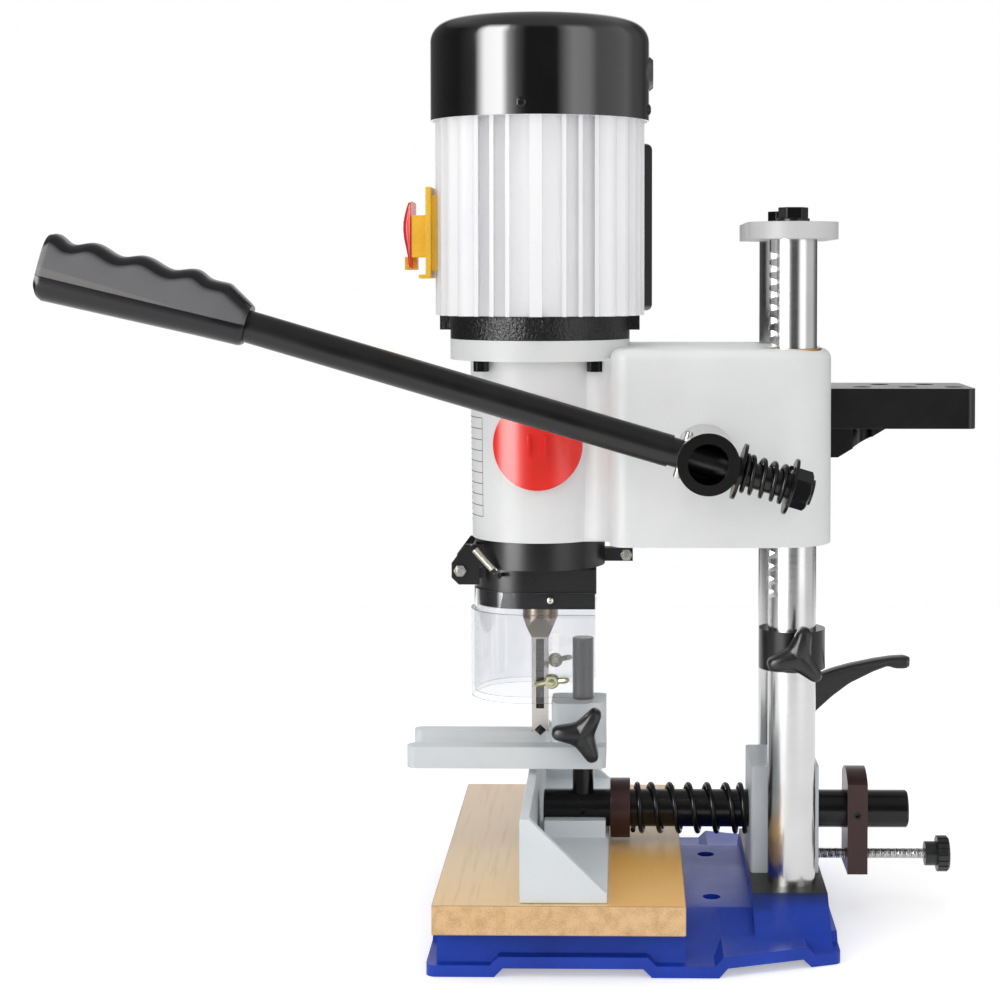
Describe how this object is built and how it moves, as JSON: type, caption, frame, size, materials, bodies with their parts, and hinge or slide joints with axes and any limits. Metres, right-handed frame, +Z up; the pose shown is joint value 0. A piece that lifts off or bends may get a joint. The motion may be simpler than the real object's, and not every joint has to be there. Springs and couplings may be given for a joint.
{
  "type": "benchtop mortiser",
  "caption": "Benchtop hollow chisel mortiser: vertical motor on a rack and pinion head over two columns, pull lever, guarded chisel, fence with hold-down and a work board on a cast base.",
  "frame": {"origin": "midway between the two bench bolt holes, on the plane the feet stand on", "axes": "+Z up along the columns, -X towards the front of the work board, +Y to the side with the capacitor box"},
  "size_m": [0.6609, 0.3413, 0.669],
  "materials": {
    "blue_enamel": "satin",
    "maple_board": "satin",
    "grey_enamel": "satin",
    "ground_steel": "satin",
    "black_steel": "satin",
    "white_enamel": "gloss",
    "white_motor_enamel": "gloss",
    "black_cast": "rough",
    "black_plastic": "gloss",
    "matte_black_plastic": "matt",
    "black_grip": "matt",
    "brown_steel": "satin",
    "yellow_plastic": "gloss",
    "red_plastic": "gloss",
    "green_plastic": "gloss",
    "bronze_bush": "satin",
    "lamination_steel": "satin",
    "clear_plastic": "gloss"
  },
  "bodies": {
    "base": {"base_casting": "blue_enamel", "work_board": "maple_board", "guide_block": "grey_enamel", "near_column": "ground_steel", "far_column": "ground_steel", "column_top_plate": "grey_enamel", "column_bolts": "black_steel"},
    "depth_stop": {"depth_collar": "black_steel"},
    "depth_stop_knob": {"depth_knob": "matte_black_plastic"},
    "fence_clamp": {"clamp_lever": "matte_black_plastic"},
    "carriage": {"guide_bar": "black_steel", "front_collar": "brown_steel", "rear_bracket": "brown_steel", "set_screws": "black_steel", "fence": "grey_enamel", "post": "black_steel", "fence_spring": "black_steel"},
    "adjuster": {"adjusting_screw": "ground_steel", "adjusting_knob": "matte_black_plastic"},
    "hold_down_fork": {"hold_down": "grey_enamel"},
    "hold_down_clamp": {"hold_down_knob": "matte_black_plastic"},
    "head": {"head_casting": "white_enamel", "column_bushes": "bronze_bush", "motor_flange": "black_cast", "flange_bolts": "black_steel", "motor_body": "white_motor_enamel", "stator": "lamination_steel", "motor_bearings": "ground_steel", "fan_cowl": "black_plastic", "cowl_screws": "ground_steel", "capacitor_box": "matte_black_plastic", "switch_plate": "yellow_plastic", "switch_box": "yellow_plastic", "guard_clamp_ring": "black_steel", "guard_nuts": "ground_steel", "chisel_holder": "black_steel", "chisel_bushing": "ground_steel", "hollow_chisel": "ground_steel"},
    "spindle": {"rotor": "ground_steel", "cooling_fan": "matte_black_plastic", "drill_chuck": "ground_steel", "auger_bit": "ground_steel"},
    "pinion": {"pinion_shaft": "ground_steel", "pinion_gear": "ground_steel", "hub_washer": "black_steel"},
    "lever": {"lever_rod": "black_steel", "lever_grip": "black_grip", "lever_pin": "black_steel", "lever_spring": "black_steel", "lever_nut": "black_steel"},
    "switch_flap": {"switch_cover": "red_plastic"},
    "start": {"start_button": "green_plastic"},
    "stop": {"stop_button": "red_plastic"},
    "guard": {"guard_ring": "black_steel", "inner_shield": "clear_plastic", "guard_spring": "ground_steel"},
    "shield": {"outer_shield": "clear_plastic"},
    "shield_nuts": {"wing_nuts": "ground_steel"},
    "near_hatch": {"near_cover": "red_plastic"},
    "far_hatch": {"far_cover": "red_plastic"}
  },
  "joints": [
    {"name": "head_slide", "type": "slide", "parent": "base", "child": "head", "axis": [0, 0, 1], "range_m": [-0.0125, 0.075]},
    {"name": "lever_turn", "type": "hinge", "parent": "head", "child": "pinion", "pos_m": [-0.0073, -0.15, 0.352], "axis": [0, 1, 0], "range_deg": [-14.1, 84.3]},
    {"name": "lever_pull", "type": "slide", "parent": "pinion", "child": "lever", "axis": [-0.9593, 0, 0.2823], "range_m": [0, 0.01], "stiffness_N_per_m": 3000, "springref_m": -0.01, "deforming": ["lever_spring"]},
    {"name": "fence_slide", "type": "slide", "parent": "base", "child": "carriage", "axis": [1, 0, 0], "range_m": [-0.002, 0.036], "deforming": ["fence_spring"]},
    {"name": "adjusting_screw_turn", "type": "hinge", "parent": "base", "child": "adjuster", "pos_m": [0.1, 0, 0.0412], "axis": [1, 0, 0], "range_deg": [-10400, 600]},
    {"name": "hold_down_slide", "type": "slide", "parent": "carriage", "child": "hold_down_fork", "axis": [0, 0, 1], "range_m": [0, 0.016]},
    {"name": "hold_down_knob_turn", "type": "hinge", "parent": "hold_down_fork", "child": "hold_down_clamp", "pos_m": [-0.0953, -0.05, 0.143], "axis": [0, 1, 0], "range_deg": [0, 270]},
    {"name": "depth_collar_slide", "type": "slide", "parent": "base", "child": "depth_stop", "axis": [0, 0, 1], "range_m": [-0.075, 0.045]},
    {"name": "depth_knob_turn", "type": "hinge", "parent": "depth_stop", "child": "depth_stop_knob", "pos_m": [0.0582, -0.1, 0.208], "axis": [0, 1, 0], "range_deg": [0, 270]},
    {"name": "clamp_lever_turn", "type": "hinge", "parent": "base", "child": "fence_clamp", "pos_m": [0.0582, 0, 0.13], "axis": [0, 0, 1], "range_deg": [-45, 45]},
    {"name": "spindle_spin", "type": "hinge", "parent": "head", "child": "spindle", "pos_m": [-0.1277, 0, 0.4], "axis": [0, 0, 1], "continuous": true},
    {"name": "switch_cover_turn", "type": "hinge", "parent": "head", "child": "switch_flap", "pos_m": [-0.2265, 0, 0.486], "axis": [0, -1, 0], "range_deg": [0, 120]},
    {"name": "start_button_press", "type": "slide", "parent": "head", "child": "start", "axis": [1, 0, 0], "range_m": [0, 0.003], "stiffness_N_per_m": 400, "springref_m": -0.002},
    {"name": "stop_button_press", "type": "slide", "parent": "head", "child": "stop", "axis": [1, 0, 0], "range_m": [0, 0.003], "stiffness_N_per_m": 400, "springref_m": -0.002},
    {"name": "guard_flip", "type": "hinge", "parent": "head", "child": "guard", "pos_m": [-0.1862, 0, 0.2596], "axis": [0, 1, 0], "range_deg": [0, 95], "stiffness_Nm_per_rad": 0.25, "springref_deg": -171.89, "deforming": ["guard_spring"]},
    {"name": "shield_slide", "type": "slide", "parent": "guard", "child": "shield", "axis": [0, 0, 1], "range_m": [0, 0.02]},
    {"name": "wing_nuts_turn", "type": "hinge", "parent": "shield", "child": "shield_nuts", "pos_m": [-0.1176, 0, 0.18], "axis": [0, 1, 0], "range_deg": [0, 180]},
    {"name": "near_cover_pull", "type": "slide", "parent": "head", "child": "near_hatch", "axis": [0, -1, 0], "range_m": [0, 0.03]},
    {"name": "far_cover_pull", "type": "slide", "parent": "head", "child": "far_hatch", "axis": [0, 1, 0], "range_m": [0, 0.03]}
  ],
  "couplings": [
    {"joint": "lever_turn", "follows": "head_slide", "rad_per_m": 19.608},
    {"joint": "adjusting_screw_turn", "follows": "fence_slide", "rad_per_m": -5026.6}
  ]
}
